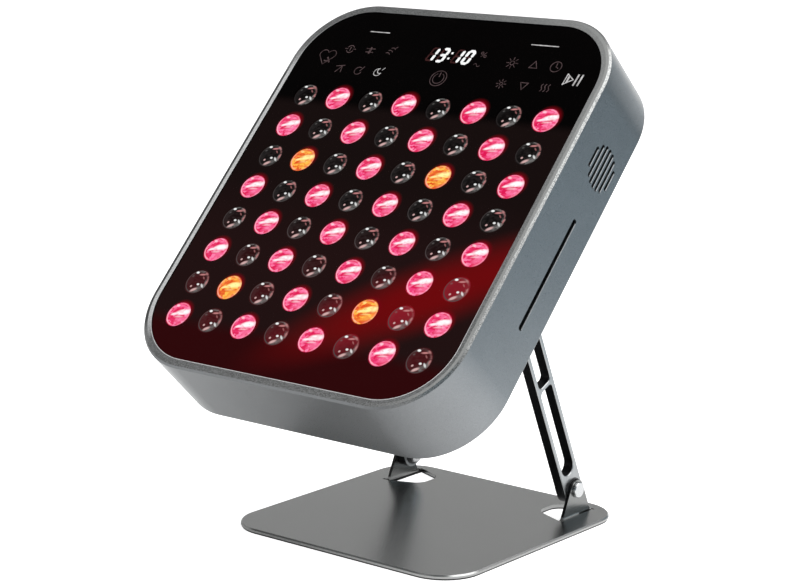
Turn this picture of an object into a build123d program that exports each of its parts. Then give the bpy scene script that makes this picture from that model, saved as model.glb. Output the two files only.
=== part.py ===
"""Desktop infrared and red light therapy lamp: an LED panel on a two-hinge stand."""

from build123d import *
import os
from math import ceil, sqrt

os.makedirs("parts", exist_ok=True)

# Origin: centre of the base on the table. X to the right, Y to the back, Z up.

# Overrun of every cutting tool past the face that it opens
overrun = 1

# Fits: between fixed neighbours, between a pin and its bore, and between moving faces
fit_gap = 0.2
bore_clearance = 0.05
side_play = 0.5

# Base: one steel sheet on a rubber pad, with an ear lanced and bent up on each side
base_width = 170.7
base_depth = 173.8
base_corner_radius = 25
base_edge_chamfer = 0.8
steel_thickness = 2
pad_thickness = 1
pad_inset = 0.6
ear_side_margin = 19.85
ear_back_margin = 25.9
ear_root_width = 30.6
ear_slant_angle = 65
ear_tip_radius = 6
window_step_back = 0.8
window_root_width = 35.4
window_tip_width = 18.6
window_reach = 20.5
window_tip_radius = 9
ear_top_height = 24.5
bend_inner_radius = 1
relief_width = 1.6
relief_reach = 3.4
slit_width = 1.2
slit_length = 14

# Stand: two flat arms that lean forward between the base ears and the bracket ears
pivot_height = 18.6
arm_length = 155
arm_lean = 24.8
arm_width = 17.4
arm_thickness = 7
arm_slot_width = 12
arm_slot_margin = 11.4
arm_rung_place = 76.5
arm_rung_width = 2.6
arm_slot_radius = 3
arm_edge_chamfer = 0.4

# Pivot hardware, the same at both hinges
pivot_shank_diameter = 6
pivot_head_diameter = 9.5
pivot_head_height = 2
pivot_edge_chamfer = 0.4
pivot_nut_flats = 10
pivot_nut_height = 2.6
friction_washer_diameter = 14
friction_washer_thickness = 0.4

# Head: an aluminium shell with a glass front, tilted back on the upper hinge
head_tilt = 43.62
head_corner_radius = 45.5
rim_width = 5.85
rim_chamfer = 1.2
wall_thickness = 3
ledge_inset = 12.8
ledge_thickness = 2
rear_edge_radius = 1
rear_opening_inset = 6.8
rear_recess_inset = 4
rear_rib_depth = 6
cover_thickness = 2

# Front layers, from the rim plane inwards
panel_recess = 0.5
panel_thickness = 3
panel_edge_chamfer = 0.4
tape_thickness = 0.5

# Light field: eight by eight lenses, lit and infrared in a chequer
field_columns = 8
field_rows = 8
column_pitch = 25
row_pitch = 22.98
field_side_margin = 26.3
field_top_margin = 71.02
field_bottom_margin = 33.82
amber_repeat_count = 4
lens_gap = 3.58
lens_flange_lap = 1.2
lens_dome_clearance = 0.3
lens_flange_thickness = 1
lens_foot_diameter = 9
lens_cavity_diameter = 6
lens_cavity_depth = 4.5
lens_front = 0.1
lens_dome_rise = 1
led_size = 3.5
led_height = 1.6
board_thickness = 1.6
led_board_front = 13.6
led_board_side_margin = 11.5
led_board_end_margin = 13.07

# Heat sink behind the LED board, held on posts of the shell
sink_plate_thickness = 3
sink_corner_inset = 7.3
fin_count = 23
fin_pitch = 8
fin_thickness = 1.6
fin_height = 11
fin_end_margin = 3
post_diameter = 7
post_wall_distance = 6.8
post_end_distance = 20.43

# Controls: touch keys, four-digit display and their board
key_column_shares = (-0.646, -0.512, -0.378, 0.406, 0.54, 0.672)
key_row_shares = (0.411, 0.106)
single_key_shares = ((-0.773, 0.263), (0.013, 0.098), (0.804, 0.251))
touch_pad_diameter = 7
control_board_front = 9
control_board_inset = 5
control_board_gap = 6.47
control_post_diameter = 6
control_post_wall_distance = 9.3
control_post_low_rise = 6
control_post_high_drop = 10.35
control_post_high_share = 0.527
display_shares = (0.018, 0.435)
display_size = (36, 14)
chip_shares = ((-0.35, 0.44), (0.264, 0.34))
chip_size = 10
chip_height = 1.4

# Right side of the shell: round grille with the speaker behind it, and a long air slot
grille_top_distance = 78.1
side_slot_depth = 31.7
grille_radius = 13
grille_pitch = 3.75
grille_slot_width = 1.9
air_slot_grille_gap = 22.45
air_slot_bottom_distance = 78.95
air_slot_width = 3
side_slot_chamfer = 0.3
speaker_diameter = 24.6
speaker_rim_width = 1.8
speaker_depth = 4
speaker_back_thickness = 0.8
magnet_diameter = 13
magnet_height = 3.5
cone_thickness = 0.5
cone_depth = 2.4
dust_cap_diameter = 8
gasket_thickness = 0.6

# Two fans on the rear cover, blowing on the fins
fan_top_distance = 70.85
fan_spacing = 96
fan_size = 60
fan_corner_radius = 4
fan_depth = 10
fan_wall = 1.5
fan_bore = fan_size - 2 * fan_wall
fan_hole_edge_distance = 5
fan_hole_pitch = fan_size - 2 * fan_hole_edge_distance
fan_mount_diameter = 26
fan_mount_thickness = 2
fan_strut_width = 3
rotor_hub_diameter = 25
rotor_hub_height = 6.9
rotor_gap = 0.4
rotor_blade_count = 7
rotor_tip_gap = 1.2
rotor_blade_span = fan_bore - 2 * rotor_tip_gap
rotor_blade_width = 8
rotor_blade_thickness = 1.1
rotor_blade_pitch = 35
rotor_shaft_diameter = 3
cover_grille_margin = 1.5
cover_grille_radius = fan_bore / 2 - cover_grille_margin
cover_grille_pitch = 5
cover_grille_slot_width = 2.4

# Power entry and supply, low on the rear cover
inlet_edge_distances = (38.8, 48.85)
inlet_flange = (31, 24)
inlet_flange_thickness = 2.2
inlet_body = (27, 19.6)
inlet_body_depth = 16
inlet_cavity = (23.6, 16.4)
inlet_cavity_depth = 13
inlet_corner_chamfer = 4
blade_width = 2
blade_height = 4
blade_length = 17
blade_end_gap = 3
blade_places = ((-7, -3), (7, -3), (0, 4.5))
rocker_inlet_step = 34
rocker_flange = (21, 15)
rocker_flange_thickness = 1.8
rocker_body = (19, 12.8)
rocker_body_depth = 13
rocker_opening = (17.2, 10.6)
rocker_floor_depth = 7
rocker_half_length = 8.1
rocker_foot_half_length = 7.2
rocker_foot_depth = 4
rocker_end_height = 4.4
rocker_middle_height = 3.2
rocker_width = 10.2
rocker_throw = 8
rocker_pin_diameter = 2
rocker_pin_reach = 1
supply_bottom_distance = 70.85
supply_board_size = (100, 56)
supply_standoff = 3
supply_fin_gap = 2.5
supply_post_diameter = 6
supply_hole_pitch = (92, 48)
transformer_offset = (-22, 2)
transformer_size = (26, 24, 13)
capacitor_offset = (17, 3)
capacitor_pitch = 18
capacitor_diameter = 13
capacitor_height = 12

# Hinge bracket behind the cover, with a backing plate inside
hinge_height = 17.2
bracket_height = 36
bracket_ear_height = 23.5
bracket_corner_radius = 4
backing_ear_gap = 3.5
backing_thickness = 2

# Screws
small_shank_diameter = 2.9
small_thread_diameter = 3
small_pass_diameter = 3.4
small_head_diameter = 5.6
small_head_height = 1.8
small_socket_flats = 2
big_shank_diameter = 3.9
big_thread_diameter = 4
big_pass_diameter = 4.4
big_head_diameter = 7.2
big_head_height = 2.3
big_socket_flats = 2.5
socket_share = 0.6
head_chamfer_share = 0.167
board_screw_stride = 3
board_screw_columns = 3
board_screw_rows = 3
board_screw_length = 4.2
post_screw_length = 8
control_screw_length = 4
cover_screw_length = 6
fan_screw_length = 8
supply_screw_length = 4
bracket_screw_v = 12
bracket_screw_ear_distance = 13.5
rear_boss_diameter = 7

# The head is as large as the light field and its margins
field_width = (field_columns - 1) * column_pitch
field_height = (field_rows - 1) * row_pitch
head_width = field_width + 2 * field_side_margin
head_height = field_height + field_top_margin + field_bottom_margin
field_centre_v = (field_bottom_margin - field_top_margin) / 2
lens_flange_diameter = min(column_pitch, row_pitch) - lens_gap
lens_hole_diameter = lens_flange_diameter - 2 * lens_flange_lap
lens_dome_diameter = lens_hole_diameter - 2 * lens_dome_clearance
led_board_width = field_width + 2 * led_board_side_margin
led_board_height = field_height + 2 * led_board_end_margin
post_u = head_width / 2 - wall_thickness - post_wall_distance
post_v_step = field_height / 2 - post_end_distance

# Depths behind the rim plane, each from the layer in front of it
panel_back = panel_recess + panel_thickness
ledge_front = panel_back + tape_thickness
ledge_back = ledge_front + ledge_thickness
sink_front = led_board_front + board_thickness
sink_plate_back = sink_front + sink_plate_thickness
supply_front = sink_plate_back + fin_height + supply_fin_gap + transformer_size[2]
supply_back = supply_front + board_thickness
cover_front = supply_back + supply_standoff
head_depth = cover_front + cover_thickness
rib_front = head_depth - rear_rib_depth

# Planes of the stand and the head, worked out from the base upwards
plate_top = pad_thickness + steel_thickness
ear_inner_x = base_width / 2 - ear_side_margin
ear_y = base_depth / 2 - ear_back_margin
window_y = ear_y + window_step_back
ear_outer_x = ear_inner_x + steel_thickness
arm_outer_x = ear_inner_x - side_play
arm_inner_x = arm_outer_x - arm_thickness
lower_pivot = Vector(0, ear_y, pivot_height)
arm_direction = Vector(0, 0, 1).rotate(Axis.X, arm_lean)
upper_pivot = lower_pivot + arm_direction * arm_length
head_normal = Vector(0, -1, 0).rotate(Axis.X, -head_tilt)
head_up = Vector(0, 0, 1).rotate(Axis.X, -head_tilt)
head_origin = upper_pivot + head_normal * (hinge_height + head_depth)
head = Plane(origin=head_origin, x_dir=(1, 0, 0), z_dir=head_normal)
rear = Plane(origin=head_origin - head_normal * head_depth, x_dir=(-1, 0, 0), z_dir=-head_normal)
grille_v = head_height / 2 - grille_top_distance
air_slot_top = grille_v - grille_radius - air_slot_grille_gap
air_slot_bottom = air_slot_bottom_distance - head_height / 2
side_origin = head.from_local_coords((head_width / 2, 0, -side_slot_depth))
shell_side = Plane(origin=side_origin, x_dir=head_up, z_dir=(1, 0, 0))

# Places on the head that follow its size
control_board_bottom = field_centre_v + field_height / 2 + lens_flange_diameter / 2 + control_board_gap
control_board_height = head_height / 2 - control_board_inset - control_board_bottom
fan_places = [(side * fan_spacing / 2, head_height / 2 - fan_top_distance) for side in (-1, 1)]
inlet_edge_u, inlet_edge_v = inlet_edge_distances
inlet_place = (inlet_edge_u - head_width / 2, inlet_edge_v - head_height / 2)
rocker_place = (inlet_place[0], inlet_place[1] + rocker_inlet_step)
supply_centre = (0, supply_bottom_distance - head_height / 2)


def field_places(wanted):
    """Centres of the lenses whose row and column the test accepts."""
    return [
        ((column - (field_columns - 1) / 2) * column_pitch,
         field_centre_v - (row - (field_rows - 1) / 2) * row_pitch)
        for row in range(field_rows)
        for column in range(field_columns)
        if wanted(row, column)
    ]


def is_infrared(row, column):
    return (row + column) % 2 == 0


def is_amber(row, column):
    half_repeat = amber_repeat_count // 2
    return row % amber_repeat_count == half_repeat and column % amber_repeat_count == half_repeat - 1


infrared_places = field_places(is_infrared)
amber_places = field_places(is_amber)
red_places = field_places(lambda row, column: not (is_infrared(row, column) or is_amber(row, column)))
lens_places = infrared_places + amber_places + red_places


def control_place(share_u, share_v):
    """Place on the control board, as shares of its half width and of its height."""
    return share_u * head_width / 2, control_board_bottom + share_v * control_board_height


def from_behind(places):
    """The same places on the rear plane, which looks the other way."""
    return [(-u, v) for u, v in places]


def inset_outline(inset):
    """Rounded outline of the head, drawn a given distance inside its edge."""
    RectangleRounded(head_width - 2 * inset, head_height - 2 * inset, head_corner_radius - inset)


def round_slots(radius, pitch, width):
    """Parallel slots whose ends lie on a circle."""
    count = ceil(radius / pitch) - 1
    for step in range(-count, count + 1):
        chord = 2 * sqrt(radius**2 - (step * pitch)**2)
        with Locations((0, step * pitch)):
            SlotOverall(chord, width)


def socket_screws(plane, places, shank_diameter, length, head_diameter, head_height, socket_flats):
    """Socket head screws whose heads stand on the plane, as separate solids."""
    with BuildPart() as screws:
        with BuildSketch(plane):
            with Locations(places):
                Circle(head_diameter / 2)
        extrude(amount=head_height)
        chamfer(screws.faces().sort_by(Axis((0, 0, 0), plane.z_dir))[-1].edges(), head_height * head_chamfer_share)
        with BuildSketch(plane):
            with Locations(places):
                Circle(shank_diameter / 2)
        extrude(amount=-length)
        with BuildSketch(plane.offset(head_height)):
            with Locations(places):
                RegularPolygon(socket_flats / 2, 6, major_radius=False)
        extrude(amount=-head_height * socket_share, mode=Mode.SUBTRACT)
    return screws.part


def small_screws(plane, places, length):
    return socket_screws(plane, places, small_shank_diameter, length,
                         small_head_diameter, small_head_height, small_socket_flats)


def ear_plane(side, root, across):
    """Plane of an ear's inner face, with its Y axis away from the sheet that it is bent from."""
    return Plane(origin=root + Vector(side * ear_inner_x, 0, 0), x_dir=across * side, z_dir=(side, 0, 0))


def ear_outline(top_height, pin_height):
    """Tapered ear with a round tip and the pivot hole."""
    outline = Trapezoid(ear_root_width, top_height, ear_slant_angle, align=(Align.CENTER, Align.MIN))
    fillet(outline.vertices().sort_by(Axis.Y)[-2:], ear_tip_radius)
    with Locations((0, pin_height)):
        Circle(pivot_shank_diameter / 2 + bore_clearance, mode=Mode.SUBTRACT)


def write(part, name):
    part.label = name
    export_step(part, f"parts/{name}.step")


# Base plate, with the windows that the ears leave, and small reliefs at the fold ends
slit_x = ear_outer_x + slit_width / 2


def ear_window(side, margin):
    """Window in the sheet on the inner side of an ear, grown by a margin."""
    root_x = side * (ear_inner_x + margin)
    tip_x = side * (ear_inner_x - window_reach - margin)
    half_root = window_root_width / 2 + margin
    half_tip = window_tip_width / 2 + margin
    with BuildSketch(mode=Mode.PRIVATE) as window:
        Polygon((root_x, window_y - half_root), (root_x, window_y + half_root),
                (tip_x, window_y + half_tip), (tip_x, window_y - half_tip), align=None)
        tip = window.vertices().sort_by(Axis.X)
        fillet(tip[:2] if side > 0 else tip[-2:], window_tip_radius)
    return window.sketch


with BuildPart() as base_plate:
    with BuildSketch(Plane.XY.offset(pad_thickness)):
        RectangleRounded(base_width, base_depth, base_corner_radius)
    extrude(amount=steel_thickness)
    chamfer(base_plate.faces().sort_by(Axis.Z)[-1].edges(), base_edge_chamfer)
    with BuildSketch(Plane.XY):
        for side in (-1, 1):
            add(ear_window(side, 0), mode=Mode.ADD)
    extrude(amount=plate_top + overrun, mode=Mode.SUBTRACT)
    for side in (-1, 1):
        sheet_root = Vector(0, ear_y, pad_thickness)
        with BuildSketch(ear_plane(side, sheet_root, Vector(0, 1, 0))):
            ear_outline(ear_top_height - pad_thickness, pivot_height - pad_thickness)
        extrude(amount=steel_thickness)
    fold_edges = base_plate.edges().filter_by(Axis.Y)
    outer_bends = fold_edges.filter_by(
        lambda edge: abs(abs(edge.center().X) - ear_inner_x) < fit_gap and edge.center().Z < pad_thickness + fit_gap)
    fillet(outer_bends, steel_thickness - fit_gap)
    inner_bends = base_plate.edges().filter_by(Axis.Y).filter_by(
        lambda edge: abs(abs(edge.center().X) - ear_outer_x) < fit_gap and abs(edge.center().Z - plate_top) < fit_gap)
    fillet(inner_bends, bend_inner_radius)
    relief_y = (ear_root_width + relief_width) / 2
    with BuildSketch(Plane.XY):
        for side in (-1, 1):
            for end in (-1, 1):
                with Locations((side * (ear_inner_x + relief_reach / 2), ear_y + end * relief_y)):
                    SlotCenterToCenter(relief_reach, relief_width)
            with Locations((side * slit_x, ear_y + relief_y - slit_length / 2)):
                SlotOverall(slit_length, slit_width, rotation=90)
    extrude(amount=plate_top + overrun, mode=Mode.SUBTRACT)
write(base_plate.part, "base_plate")

with BuildPart() as base_pad:
    with BuildSketch():
        RectangleRounded(base_width - 2 * pad_inset, base_depth - 2 * pad_inset, base_corner_radius - pad_inset)
        for side in (-1, 1):
            add(ear_window(side, pad_inset), mode=Mode.SUBTRACT)
    extrude(amount=pad_thickness)
write(base_pad.part, "base_pad")

# Arms: flat bars with two long openings, round at the pivots and squarer at the rung between them
arm_slots = (
    (arm_slot_margin, arm_rung_place - arm_rung_width / 2),
    (arm_length - arm_slot_margin, arm_rung_place + arm_rung_width / 2),
)


def make_arm(inner_x):
    """One arm, from its inner face outwards to the right."""
    arm_plane = Plane(origin=lower_pivot + Vector(inner_x, 0, 0), x_dir=arm_direction, z_dir=(1, 0, 0))
    with BuildPart() as arm:
        with BuildSketch(arm_plane):
            with Locations((arm_length / 2, 0)):
                SlotCenterToCenter(arm_length, arm_width)
            for pivot_end, rung_end in arm_slots:
                middle = (pivot_end + rung_end) / 2
                with Locations((middle, 0)):
                    SlotOverall(abs(rung_end - pivot_end), arm_slot_width, mode=Mode.SUBTRACT)
                with Locations(((middle + rung_end) / 2, 0)):
                    RectangleRounded(abs(rung_end - middle), arm_slot_width, arm_slot_radius, mode=Mode.SUBTRACT)
            with Locations((0, 0), (arm_length, 0)):
                Circle(pivot_shank_diameter / 2 + bore_clearance, mode=Mode.SUBTRACT)
        extrude(amount=arm_thickness)
        chamfer(arm.faces().filter_by(Axis.X).edges(), arm_edge_chamfer)
    return arm.part


write(make_arm(-arm_outer_x), "left_arm")
write(make_arm(arm_inner_x), "right_arm")

# Pivot hardware: bolt from outside through ear and arm, nut inside, washers on both arm faces
nut_outer_x = arm_inner_x - side_play
pivot_shank_length = ear_outer_x - nut_outer_x + pivot_nut_height


def pivot_plane(pivot, side, x):
    """Plane square to the pivot, facing outwards at a distance from the middle."""
    return Plane(origin=pivot + Vector(side * x, 0, 0), x_dir=arm_direction, z_dir=(side, 0, 0))


def pivot_hardware(pivot, place):
    """Bolts, nuts and friction washers of one hinge, each set as two or four solids."""
    with BuildPart() as bolts:
        for side in (-1, 1):
            with BuildSketch(pivot_plane(pivot, side, ear_outer_x)):
                Circle(pivot_head_diameter / 2)
            extrude(amount=pivot_head_height)
        chamfer(bolts.edges().filter_by(GeomType.CIRCLE).group_by(SortBy.RADIUS)[-1], pivot_edge_chamfer)
        for side in (-1, 1):
            with BuildSketch(pivot_plane(pivot, side, ear_outer_x)):
                Circle(pivot_shank_diameter / 2)
            extrude(amount=-pivot_shank_length)
    write(bolts.part, f"{place}_pivot_bolts")

    with BuildPart() as nuts:
        for side in (-1, 1):
            with BuildSketch(pivot_plane(pivot, side, nut_outer_x)):
                RegularPolygon(pivot_nut_flats / 2, 6, major_radius=False)
                Circle(pivot_shank_diameter / 2 + bore_clearance, mode=Mode.SUBTRACT)
            extrude(amount=-pivot_nut_height)
    write(nuts.part, f"{place}_pivot_nuts")

    with BuildPart() as washers:
        for side in (-1, 1):
            for x in (arm_outer_x, arm_inner_x - friction_washer_thickness):
                with BuildSketch(pivot_plane(pivot, side, x)):
                    Circle(friction_washer_diameter / 2)
                    Circle(pivot_shank_diameter / 2 + bore_clearance, mode=Mode.SUBTRACT)
                extrude(amount=friction_washer_thickness)
    write(washers.part, f"{place}_friction_washers")


pivot_hardware(lower_pivot, "lower")
pivot_hardware(upper_pivot, "upper")

# Hinge bracket: a sheet across the middle of the back, with an ear bent out at each end
bracket_screw_u = ear_inner_x - bracket_screw_ear_distance
backing_width = 2 * (ear_inner_x - backing_ear_gap)
bracket_screw_places = [
    (u, v) for u in (-bracket_screw_u, bracket_screw_u) for v in (-bracket_screw_v, bracket_screw_v)
]
with BuildPart() as hinge_bracket:
    with BuildSketch(rear):
        RectangleRounded(2 * ear_outer_x, bracket_height, bracket_corner_radius)
        with Locations(bracket_screw_places):
            Circle(big_pass_diameter / 2, mode=Mode.SUBTRACT)
    extrude(amount=steel_thickness)
    for side in (-1, 1):
        with BuildSketch(ear_plane(side, rear.origin, -head_up)):
            ear_outline(bracket_ear_height, hinge_height)
        extrude(amount=steel_thickness)
    bracket_bends = hinge_bracket.edges().filter_by(
        lambda edge: abs(abs(edge.center().X) - ear_inner_x) < fit_gap
        and abs(rear.to_local_coords(edge.center()).Z - steel_thickness) < fit_gap)
    fillet(bracket_bends.filter_by(Axis((0, 0, 0), head_up)), bend_inner_radius)
write(hinge_bracket.part, "hinge_bracket")

with BuildPart() as bracket_backing_plate:
    with BuildSketch(rear.offset(-cover_thickness)):
        RectangleRounded(backing_width, bracket_height, bracket_corner_radius)
        with Locations(bracket_screw_places):
            Circle(big_thread_diameter / 2, mode=Mode.SUBTRACT)
    extrude(amount=-backing_thickness)
write(bracket_backing_plate.part, "bracket_backing_plate")

bracket_screw_length = steel_thickness + cover_thickness + backing_thickness
write(socket_screws(rear.offset(steel_thickness), bracket_screw_places, big_shank_diameter, bracket_screw_length,
                    big_head_diameter, big_head_height, big_socket_flats), "bracket_screws")

# Housing shell: walls, glass ledge, rear rib with the recess of the cover, posts and side openings
cover_boss_inset = rear_opening_inset + rear_boss_diameter / 2 - wall_thickness
boss_u = head_width / 2 - cover_boss_inset
boss_v = head_height / 2 - cover_boss_inset
boss_corner_step = head_corner_radius + rear_boss_diameter
cover_screw_places = [
    (sign_u * boss_u, sign_v * (boss_v - boss_corner_step)) for sign_u in (-1, 1) for sign_v in (-1, 1)
] + [
    (sign_u * (boss_u - boss_corner_step), sign_v * boss_v) for sign_u in (-1, 1) for sign_v in (-1, 1)
]
control_posts = [
    (side * (head_width / 2 - control_post_wall_distance), control_board_bottom + control_post_low_rise)
    for side in (-1, 1)
] + [
    (side * control_post_high_share * head_width / 2, head_height / 2 - control_post_high_drop) for side in (-1, 1)
]
sink_post_places = [
    (sign * post_u, field_centre_v + step * post_v_step) for sign in (-1, 1) for step in (-1, 0, 1)
]
with BuildPart() as housing_shell:
    with BuildSketch(head.offset(-head_depth)):
        inset_outline(0)
    extrude(amount=head_depth)
    depth_axis = Axis((0, 0, 0), head_normal)
    chamfer(housing_shell.faces().sort_by(depth_axis)[-1].edges(), rim_chamfer)
    fillet(housing_shell.faces().sort_by(depth_axis)[0].edges(), rear_edge_radius)
    with BuildSketch(head.offset(-ledge_back)):
        inset_outline(wall_thickness)
    extrude(amount=ledge_back - rib_front, mode=Mode.SUBTRACT)
    with BuildSketch(head.offset(-ledge_front)):
        inset_outline(rim_width - fit_gap)
    extrude(amount=ledge_front + overrun, mode=Mode.SUBTRACT)
    with BuildSketch(head.offset(-ledge_back - overrun)):
        inset_outline(ledge_inset)
    extrude(amount=ledge_thickness + 2 * overrun, mode=Mode.SUBTRACT)
    with BuildSketch(head.offset(-rib_front + overrun)):
        inset_outline(rear_opening_inset)
    extrude(amount=-rear_rib_depth - 2 * overrun, mode=Mode.SUBTRACT)
    with BuildSketch(head.offset(-cover_front)):
        inset_outline(rear_recess_inset)
    extrude(amount=-cover_thickness - overrun, mode=Mode.SUBTRACT)
    with BuildSketch(head.offset(-ledge_back)):
        with Locations(sink_post_places):
            Circle(post_diameter / 2)
    extrude(amount=ledge_back - sink_front)
    with BuildSketch(head.offset(-ledge_back)):
        with Locations(control_posts):
            Circle(control_post_diameter / 2)
    extrude(amount=ledge_back - control_board_front)
    with BuildSketch(head.offset(-cover_front)):
        with Locations(cover_screw_places):
            Circle(rear_boss_diameter / 2)
    extrude(amount=rear_rib_depth - cover_thickness)
    with BuildSketch(head.offset(-sink_front)):
        with Locations(sink_post_places):
            Circle(small_thread_diameter / 2)
    extrude(amount=post_screw_length - sink_plate_thickness + overrun, mode=Mode.SUBTRACT)
    with BuildSketch(head.offset(-control_board_front)):
        with Locations(control_posts):
            Circle(small_thread_diameter / 2)
    extrude(amount=control_screw_length - board_thickness, mode=Mode.SUBTRACT)
    with BuildSketch(head.offset(-cover_front)):
        with Locations(cover_screw_places):
            Circle(small_thread_diameter / 2)
    extrude(amount=rear_rib_depth, mode=Mode.SUBTRACT)
    with BuildSketch(shell_side):
        with Locations((grille_v, 0)):
            round_slots(grille_radius, grille_pitch, grille_slot_width)
        with Locations(((air_slot_top + air_slot_bottom) / 2, 0)):
            SlotOverall(air_slot_top - air_slot_bottom, air_slot_width)
    extrude(amount=-wall_thickness - overrun, mode=Mode.SUBTRACT)
    slotted_face = housing_shell.faces().sort_by(Axis.X)[-1]
    chamfer([edge for wire in slotted_face.inner_wires() for edge in wire.edges()], side_slot_chamfer)
write(housing_shell.part, "housing_shell")

# Front panel of smoked black acrylic with a hole for each lens, and the tape that holds it
with BuildPart() as front_panel:
    with BuildSketch(head.offset(-panel_back)):
        inset_outline(rim_width)
    extrude(amount=panel_thickness)
    chamfer(front_panel.faces().sort_by(depth_axis)[-1].edges(), panel_edge_chamfer)
    with BuildSketch(head.offset(-panel_back)):
        with Locations(lens_places):
            Circle(lens_hole_diameter / 2)
    extrude(amount=panel_thickness, mode=Mode.SUBTRACT)
write(front_panel.part, "front_panel")

with BuildPart() as panel_tape:
    with BuildSketch(mode=Mode.PRIVATE) as tape_opening:
        inset_outline(ledge_inset - fit_gap)
    with BuildSketch(head.offset(-ledge_front)):
        inset_outline(rim_width + fit_gap)
        add(tape_opening.sketch, mode=Mode.SUBTRACT)
    extrude(amount=tape_thickness)
write(panel_tape.part, "panel_tape")

# LED board, and the screws that press it on the heat sink between the lenses
board_screw_grid = GridLocations(board_screw_stride * column_pitch, board_screw_stride * row_pitch,
                                 board_screw_columns, board_screw_rows)
board_screw_places = [(place.position.X, place.position.Y + field_centre_v) for place in board_screw_grid]
with BuildPart() as led_board:
    with BuildSketch(head.offset(-sink_front)):
        inset_outline(sink_corner_inset)
        with Locations((0, field_centre_v)):
            Rectangle(led_board_width, led_board_height, mode=Mode.INTERSECT)
        with Locations(board_screw_places):
            Circle(small_pass_diameter / 2, mode=Mode.SUBTRACT)
    extrude(amount=board_thickness)
write(led_board.part, "led_board")
write(small_screws(head.offset(-led_board_front), board_screw_places, board_screw_length), "led_board_screws")

# One LED and one lens, standing on the board with the axis up
with BuildPart() as led:
    Box(led_size, led_size, led_height, align=(Align.CENTER, Align.CENTER, Align.MIN))

lens_height = led_board_front - lens_front
flange_top = led_board_front - panel_back - fit_gap
with BuildPart() as lens:
    with BuildSketch(Plane.XZ):
        with BuildLine():
            dome = TangentArc((0, lens_height), (lens_dome_diameter / 2, lens_height - lens_dome_rise),
                              tangent=(1, 0))
            Polyline(dome @ 1, (lens_dome_diameter / 2, flange_top), (lens_flange_diameter / 2, flange_top),
                     (lens_flange_diameter / 2, flange_top - lens_flange_thickness), (lens_foot_diameter / 2, 0),
                     (lens_cavity_diameter / 2, 0), (lens_cavity_diameter / 2, lens_cavity_depth),
                     (0, lens_cavity_depth), dome @ 0)
        make_face()
    revolve(axis=Axis.Z)


def board_set(piece, places):
    """Copies of a piece on the front of the LED board."""
    with BuildPart(head.offset(-led_board_front)) as copies:
        with Locations(places):
            add(piece)
    return copies.part


for colour, places in (("red", red_places), ("amber", amber_places), ("infrared", infrared_places)):
    write(board_set(led.part, places), f"{colour}_leds")
    write(board_set(lens.part, places), f"{colour}_lenses")

# Heat sink: plate and upright fins
with BuildPart() as heat_sink:
    with BuildSketch(head.offset(-sink_plate_back)):
        inset_outline(sink_corner_inset)
        with Locations((0, field_centre_v)):
            Rectangle(head_width, led_board_height, mode=Mode.INTERSECT)
        with Locations(sink_post_places):
            Circle(small_pass_diameter / 2, mode=Mode.SUBTRACT)
        with Locations(board_screw_places):
            Circle(small_thread_diameter / 2, mode=Mode.SUBTRACT)
    extrude(amount=sink_plate_thickness)
    with BuildSketch(head.offset(-sink_plate_back)):
        with Locations((0, field_centre_v)):
            with GridLocations(fin_pitch, 0, fin_count, 1):
                Rectangle(fin_thickness, led_board_height - 2 * fin_end_margin)
    extrude(amount=-fin_height)
write(heat_sink.part, "heat_sink")
sink_back = rear.offset(sink_plate_back - head_depth)
write(small_screws(sink_back, from_behind(sink_post_places), post_screw_length), "heat_sink_screws")

# Control board along the top, with its touch pads, display and chips
key_places = [control_place(u, v) for u in key_column_shares for v in key_row_shares]
key_places += [control_place(u, v) for u, v in single_key_shares]
control_board_back = control_board_front + board_thickness
with BuildPart() as control_board:
    with BuildSketch(head.offset(-control_board_back)):
        inset_outline(control_board_inset)
        with Locations((0, control_board_bottom)):
            Rectangle(head_width, head_height, align=(Align.CENTER, Align.MIN), mode=Mode.INTERSECT)
        with Locations(control_posts):
            Circle(small_pass_diameter / 2, mode=Mode.SUBTRACT)
    extrude(amount=board_thickness)
write(control_board.part, "control_board")
control_back = rear.offset(control_board_back - head_depth)
write(small_screws(control_back, from_behind(control_posts), control_screw_length), "control_board_screws")

with BuildPart() as touch_pads:
    with BuildSketch(head.offset(-control_board_front)):
        with Locations(key_places):
            Circle(touch_pad_diameter / 2)
    extrude(amount=control_board_front - panel_back)
write(touch_pads.part, "touch_pads")

with BuildPart() as display_module:
    with BuildSketch(head.offset(-control_board_front)):
        with Locations(control_place(*display_shares)):
            Rectangle(*display_size)
    extrude(amount=control_board_front - panel_back)
write(display_module.part, "display_module")

with BuildPart() as control_chips:
    with BuildSketch(control_back):
        with Locations(from_behind([control_place(u, v) for u, v in chip_shares])):
            Rectangle(chip_size, chip_size)
    extrude(amount=chip_height)
write(control_chips.part, "control_chips")

# Speaker on the right wall, behind the round grille
speaker_origin = head.from_local_coords((head_width / 2 - wall_thickness, grille_v, -side_slot_depth))
speaker_seat = Plane(origin=speaker_origin, x_dir=head_up, z_dir=(-1, 0, 0))
speaker_recess = speaker_diameter / 2 - speaker_rim_width
with BuildPart() as speaker_gasket:
    with BuildSketch(speaker_seat):
        Circle(speaker_diameter / 2)
        Circle(speaker_recess, mode=Mode.SUBTRACT)
    extrude(amount=gasket_thickness)
write(speaker_gasket.part, "speaker_gasket")

with BuildPart() as cone:
    with BuildSketch(Plane.XZ):
        with BuildLine():
            Polyline((0, cone_depth), (dust_cap_diameter / 2, cone_depth), (speaker_recess, 0),
                     (speaker_diameter / 2, 0), (speaker_diameter / 2, cone_thickness),
                     (speaker_recess, cone_thickness), (dust_cap_diameter / 2, cone_depth + cone_thickness),
                     (0, cone_depth + cone_thickness), close=True)
        make_face()
    revolve(axis=Axis.Z)
with BuildPart(speaker_seat.offset(gasket_thickness)) as speaker_cone:
    add(cone.part)
write(speaker_cone.part, "speaker_cone")

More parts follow.
